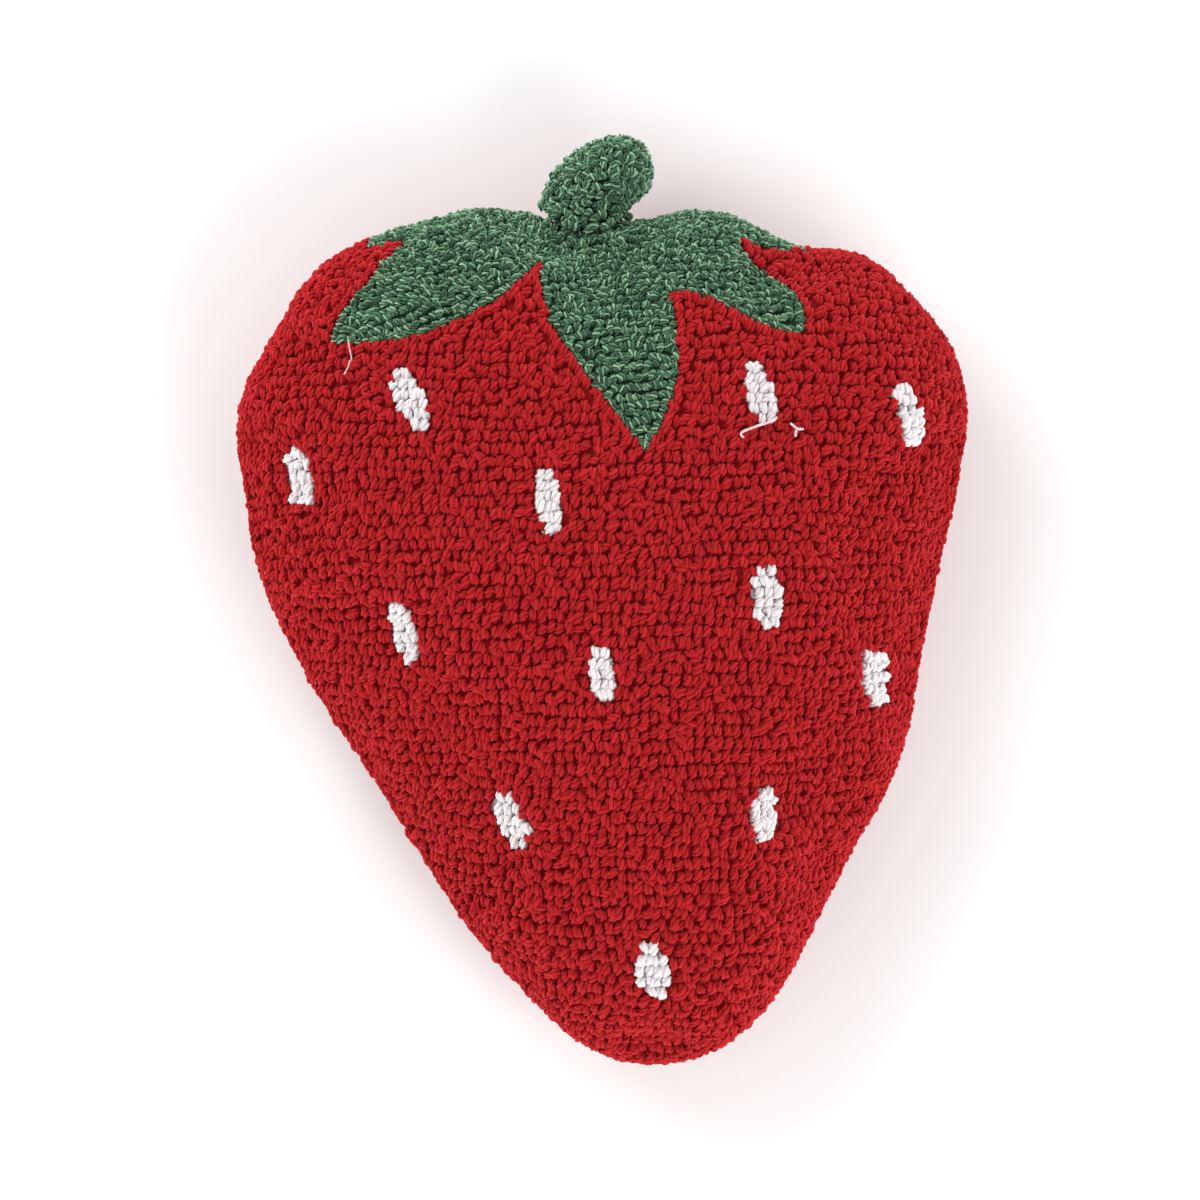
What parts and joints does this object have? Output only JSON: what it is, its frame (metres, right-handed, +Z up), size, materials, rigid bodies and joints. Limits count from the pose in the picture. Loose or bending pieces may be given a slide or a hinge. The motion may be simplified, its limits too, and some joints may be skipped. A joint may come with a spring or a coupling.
{
  "type": "hooked throw cushion",
  "caption": "Strawberry-shaped hooked throw cushion with looped red face, green calyx and curled stem, white seeds, zip back.",
  "frame": {"origin": "on the surface that the cushion lies on, under the middle of its box", "axes": "+Z up through the hooked face, +Y along the length from the tip to the stem, +X to the right of the face seen from above with the stem at the top"},
  "size_m": [0.3592, 0.457, 0.1038],
  "materials": {
    "red_yarn": "looped wool-blend rug yarn, matt with a soft sheen",
    "green_yarn": "heathered looped rug yarn, matt",
    "white_yarn": "looped off-white yarn, matt",
    "canvas": "dyed cotton foundation canvas",
    "velveteen": "short-pile cotton velveteen",
    "fibre": "loose polyester fibre",
    "lining": "plain-weave cotton",
    "thread": "twisted polyester sewing thread",
    "label_satin": "blank satin tape",
    "zip_tape": "woven polyester tape",
    "zip_coil": "dyed nylon monofilament",
    "zip_metal": "antique brass plate, satin"
  },
  "bodies": {
    "pillow": {"pile_red": "red_yarn", "pile_calyx": "green_yarn", "pile_stem": "green_yarn", "seed_01": "white_yarn", "seed_02": "white_yarn", "seed_03": "white_yarn", "seed_04": "white_yarn", "seed_05": "white_yarn", "seed_06": "white_yarn", "seed_07": "white_yarn", "seed_08": "white_yarn", "seed_09": "white_yarn", "seed_10": "white_yarn", "seed_11": "white_yarn", "seed_12": "white_yarn", "front_canvas": "canvas", "back_panel": "velveteen", "stem_canvas": "canvas", "stem_back": "velveteen", "stem_fill": "fibre", "seam_thread": "thread", "insert_front": "lining", "insert_back": "lining", "fibre_fill": "fibre", "care_label": "label_satin", "zip_tape_upper": "zip_tape", "zip_tape_lower": "zip_tape", "zip_coil_upper": "zip_coil", "zip_coil_lower": "zip_coil", "zip_top_stops": "zip_metal", "zip_bottom_stop": "zip_metal"},
    "slider": {"zip_slider": "zip_metal"},
    "pull": {"pull_tab": "zip_metal"}
  },
  "joints": [
    {"name": "zip_slide", "type": "slide", "parent": "pillow", "child": "slider", "axis": [-0.45, -0.893, 0], "range_m": [0, 0.091]},
    {"name": "pull_flip", "type": "hinge", "parent": "slider", "child": "pull", "pos_m": [0.13861, -0.08468, 0.03626], "axis": [0.098, -0.0494, 0.994], "range_deg": [0, 175]}
  ]
}
